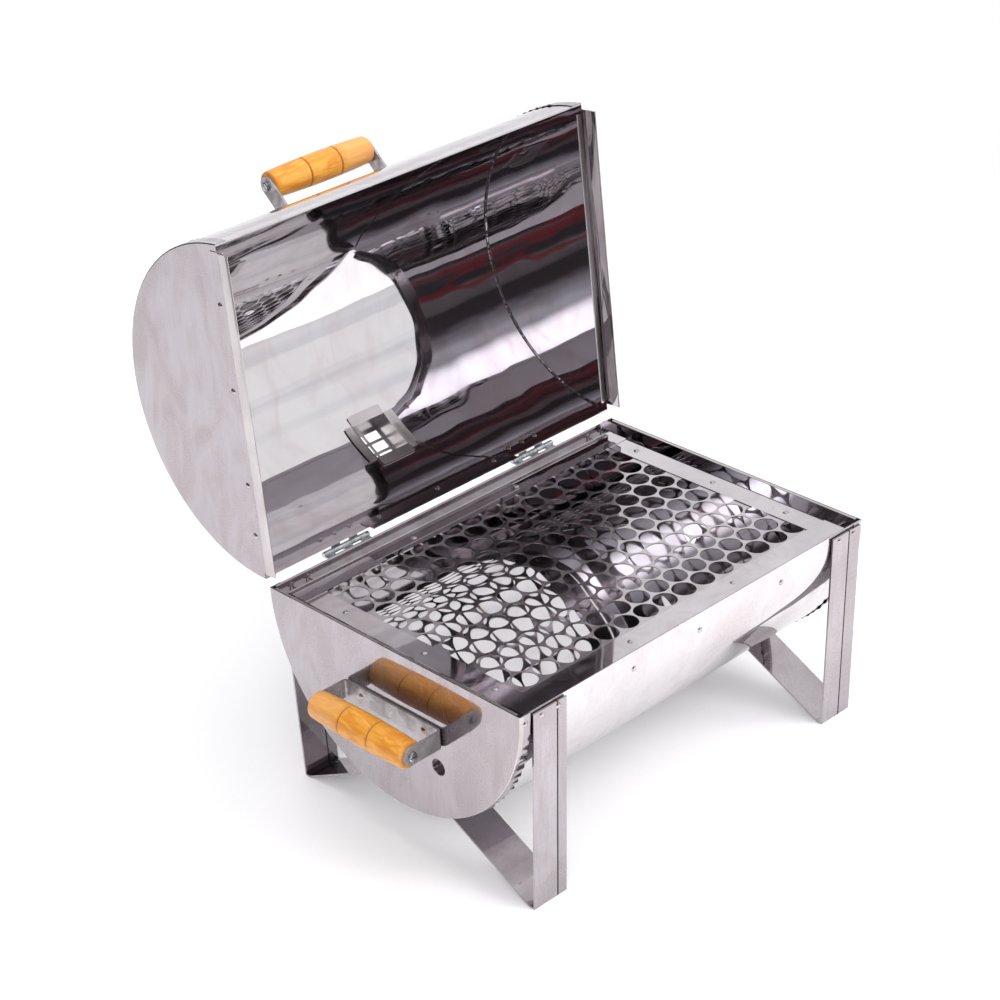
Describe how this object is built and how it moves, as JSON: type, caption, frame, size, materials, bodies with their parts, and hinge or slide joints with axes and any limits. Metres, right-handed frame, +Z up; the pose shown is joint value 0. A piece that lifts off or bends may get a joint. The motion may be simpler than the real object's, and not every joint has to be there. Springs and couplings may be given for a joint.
{
  "type": "portable barrel charcoal barbecue",
  "caption": "Portable half-barrel charcoal barbecue in thin stainless sheet, hinged dome lid shown open, perforated grate, bent-strip legs and wooden grips.",
  "frame": {"origin": "on the ground, under the middle of the open barbecue's box", "axes": "+X along the barrel to the right-hand end, +Y to the hinge side at the back, +Z up"},
  "size_m": [0.612, 0.5534, 0.5985],
  "materials": {
    "stainless_sheet": "polished stainless sheet, bright inside and hazy outside",
    "zinc_plated_steel": "zinc plated, satin",
    "rivet_steel": "bright domed rivet heads",
    "varnished_wood": "turned wood with golden varnish and two burnt grooves"
  },
  "bodies": {
    "trough": {"trough_skin": "stainless_sheet", "left_end_plate": "stainless_sheet", "right_end_plate": "stainless_sheet", "front_grate_ledge": "stainless_sheet", "back_grate_ledge": "stainless_sheet", "ledge_rivets": "rivet_steel", "corner_rivets": "rivet_steel", "back_left_leg": "stainless_sheet", "back_right_leg": "stainless_sheet", "front_left_leg": "stainless_sheet", "front_right_leg": "stainless_sheet", "leg_rivets": "rivet_steel", "belly_rivets": "rivet_steel", "left_handle_bracket": "stainless_sheet", "left_handle_grip": "varnished_wood", "left_handle_screws": "zinc_plated_steel", "left_bracket_rivets": "rivet_steel", "right_handle_bracket": "stainless_sheet", "right_handle_grip": "varnished_wood", "right_handle_screws": "zinc_plated_steel", "right_bracket_rivets": "rivet_steel", "left_hinge_lower_leaf": "zinc_plated_steel", "right_hinge_lower_leaf": "zinc_plated_steel", "left_hinge_pin": "zinc_plated_steel", "right_hinge_pin": "zinc_plated_steel", "hinge_lower_rivets": "rivet_steel"},
    "lid": {"lid_skin": "stainless_sheet", "lid_right_end_plate": "stainless_sheet", "lid_left_end_plate": "stainless_sheet", "lid_right_lip": "stainless_sheet", "lid_left_lip": "stainless_sheet", "lid_lip_rivets": "rivet_steel", "lid_back_strip": "stainless_sheet", "lid_strip_rivets": "rivet_steel", "lid_vent_duct": "stainless_sheet", "lid_vent_grid": "stainless_sheet", "lid_handle_bracket": "stainless_sheet", "lid_handle_grip": "varnished_wood", "lid_handle_screws": "zinc_plated_steel", "lid_bracket_rivets": "rivet_steel", "left_hinge_upper_leaf": "zinc_plated_steel", "right_hinge_upper_leaf": "zinc_plated_steel", "hinge_upper_rivets": "rivet_steel"},
    "grate": {"grate_sheet": "stainless_sheet", "grate_right_strip": "stainless_sheet", "grate_left_strip": "stainless_sheet", "grate_back_strip": "stainless_sheet", "grate_front_strip": "stainless_sheet", "grate_rivets": "rivet_steel"}
  },
  "joints": [
    {"name": "lid_hinge", "type": "hinge", "parent": "trough", "child": "lid", "pos_m": [0, 0.09104, 0.235], "axis": [1, 0, 0], "range_deg": [0, 94.25]},
    {"name": "grate_lift", "type": "slide", "parent": "trough", "child": "grate", "axis": [0, 0, 1], "range_m": [0, 0.045]}
  ]
}
